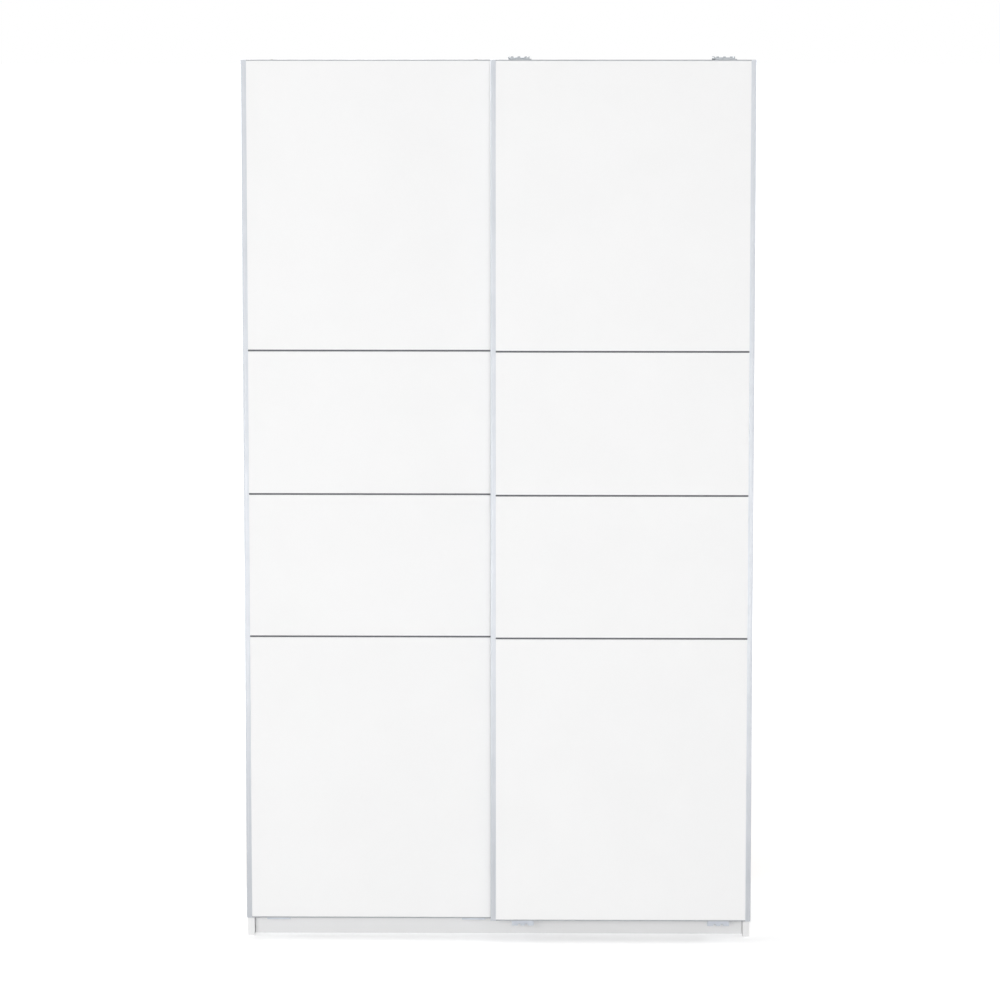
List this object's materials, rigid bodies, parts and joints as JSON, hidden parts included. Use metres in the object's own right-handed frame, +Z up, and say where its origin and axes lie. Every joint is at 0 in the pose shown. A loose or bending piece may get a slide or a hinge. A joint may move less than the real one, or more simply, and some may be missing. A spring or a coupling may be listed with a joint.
{
  "type": "sliding door wardrobe",
  "caption": "Tall white wardrobe with overlapping top-hung sliding doors in aluminium uprights, shelves on one side and a hanging rail on the other.",
  "frame": {"origin": "on the floor, at the centre of the footprint", "axes": "+X to the right seen from the front, -Y out of the door faces, +Z up"},
  "size_m": [1.208, 0.64, 2.1075],
  "materials": {
    "white_melamine": "white melamine-faced chipboard with a fine grain",
    "door_melamine": "smooth white melamine-faced chipboard, satin",
    "hardboard": "hardboard, white lacquer on the inner face",
    "anodised_aluminium": "silver anodised extrusion, satin",
    "dark_strip": "grey plastic joint strip, matt",
    "galvanised_steel": "galvanised pressed steel",
    "zinc_fasteners": "zinc-plated steel",
    "chromed_steel": "chromed steel tube and cups",
    "grey_plastic": "light grey plastic",
    "black_plastic": "black plastic",
    "white_plastic": "white plastic",
    "nylon": "natural nylon",
    "buffer_rubber": "black rubber",
    "beech": "plain beech"
  },
  "bodies": {
    "cabinet": {"side_left": "white_melamine", "side_right": "white_melamine", "top_panel": "white_melamine", "bottom_panel": "white_melamine", "partition": "white_melamine", "plinth_front": "white_melamine", "plinth_back": "white_melamine", "plinth_brace": "white_melamine", "hat_shelf_left": "white_melamine", "hat_shelf_right": "white_melamine", "shelf_1": "white_melamine", "shelf_2": "white_melamine", "shelf_3": "white_melamine", "back_left": "hardboard", "back_right": "hardboard", "hanging_rail": "chromed_steel", "rail_sockets": "chromed_steel", "top_track": "anodised_aluminium", "bottom_track": "grey_plastic", "track_stops": "black_plastic", "stop_pads": "buffer_rubber", "wall_brackets": "galvanised_steel", "shelf_pins": "zinc_fasteners", "cam_locks": "zinc_fasteners", "cam_bolts": "zinc_fasteners", "dowels": "beech", "partition_screws": "zinc_fasteners", "corner_blocks": "white_plastic", "carcass_screws": "zinc_fasteners", "track_screws": "zinc_fasteners", "back_nails": "zinc_fasteners"},
    "outer_door": {"outer_board_1": "door_melamine", "outer_board_2": "door_melamine", "outer_board_3": "door_melamine", "outer_board_4": "door_melamine", "outer_strips": "dark_strip", "outer_edge_strips": "anodised_aluminium", "outer_stile_left": "anodised_aluminium", "outer_stile_right": "anodised_aluminium", "outer_brackets": "galvanised_steel", "outer_trolley_arms": "galvanised_steel", "outer_axles": "galvanised_steel", "outer_guides": "grey_plastic", "outer_door_screws": "zinc_fasteners"},
    "inner_door": {"inner_board_1": "door_melamine", "inner_board_2": "door_melamine", "inner_board_3": "door_melamine", "inner_board_4": "door_melamine", "inner_strips": "dark_strip", "inner_edge_strips": "anodised_aluminium", "inner_stile_left": "anodised_aluminium", "inner_stile_right": "anodised_aluminium", "inner_trolleys": "galvanised_steel", "inner_axles": "galvanised_steel", "inner_guides": "grey_plastic", "inner_door_screws": "zinc_fasteners"},
    "outer_wheel_left": {"outer_wheel_left": "nylon"},
    "outer_wheel_right": {"outer_wheel_right": "nylon"},
    "inner_wheel_left": {"inner_wheel_left": "nylon"},
    "inner_wheel_right": {"inner_wheel_right": "nylon"}
  },
  "joints": [
    {"name": "outer_door_slide", "type": "slide", "parent": "cabinet", "child": "outer_door", "axis": [-1, 0, 0], "range_m": [0, 0.586]},
    {"name": "inner_door_slide", "type": "slide", "parent": "cabinet", "child": "inner_door", "axis": [1, 0, 0], "range_m": [0, 0.586]},
    {"name": "outer_wheel_left_spin", "type": "hinge", "parent": "outer_door", "child": "outer_wheel_left", "pos_m": [0.0485, -0.222, 2.0873], "axis": [0, 1, 0], "continuous": true},
    {"name": "outer_wheel_right_spin", "type": "hinge", "parent": "outer_door", "child": "outer_wheel_right", "pos_m": [0.5285, -0.222, 2.0873], "axis": [0, 1, 0], "continuous": true},
    {"name": "inner_wheel_left_spin", "type": "hinge", "parent": "inner_door", "child": "inner_wheel_left", "pos_m": [-0.533, -0.2575, 2.0873], "axis": [0, 1, 0], "continuous": true},
    {"name": "inner_wheel_right_spin", "type": "hinge", "parent": "inner_door", "child": "inner_wheel_right", "pos_m": [-0.053, -0.2575, 2.0873], "axis": [0, 1, 0], "continuous": true}
  ],
  "couplings": [
    {"joint": "outer_wheel_left_spin", "follows": "outer_door_slide", "rad_per_m": -90.909},
    {"joint": "outer_wheel_right_spin", "follows": "outer_door_slide", "rad_per_m": -90.909},
    {"joint": "inner_wheel_left_spin", "follows": "inner_door_slide", "rad_per_m": 90.909},
    {"joint": "inner_wheel_right_spin", "follows": "inner_door_slide", "rad_per_m": 90.909}
  ]
}
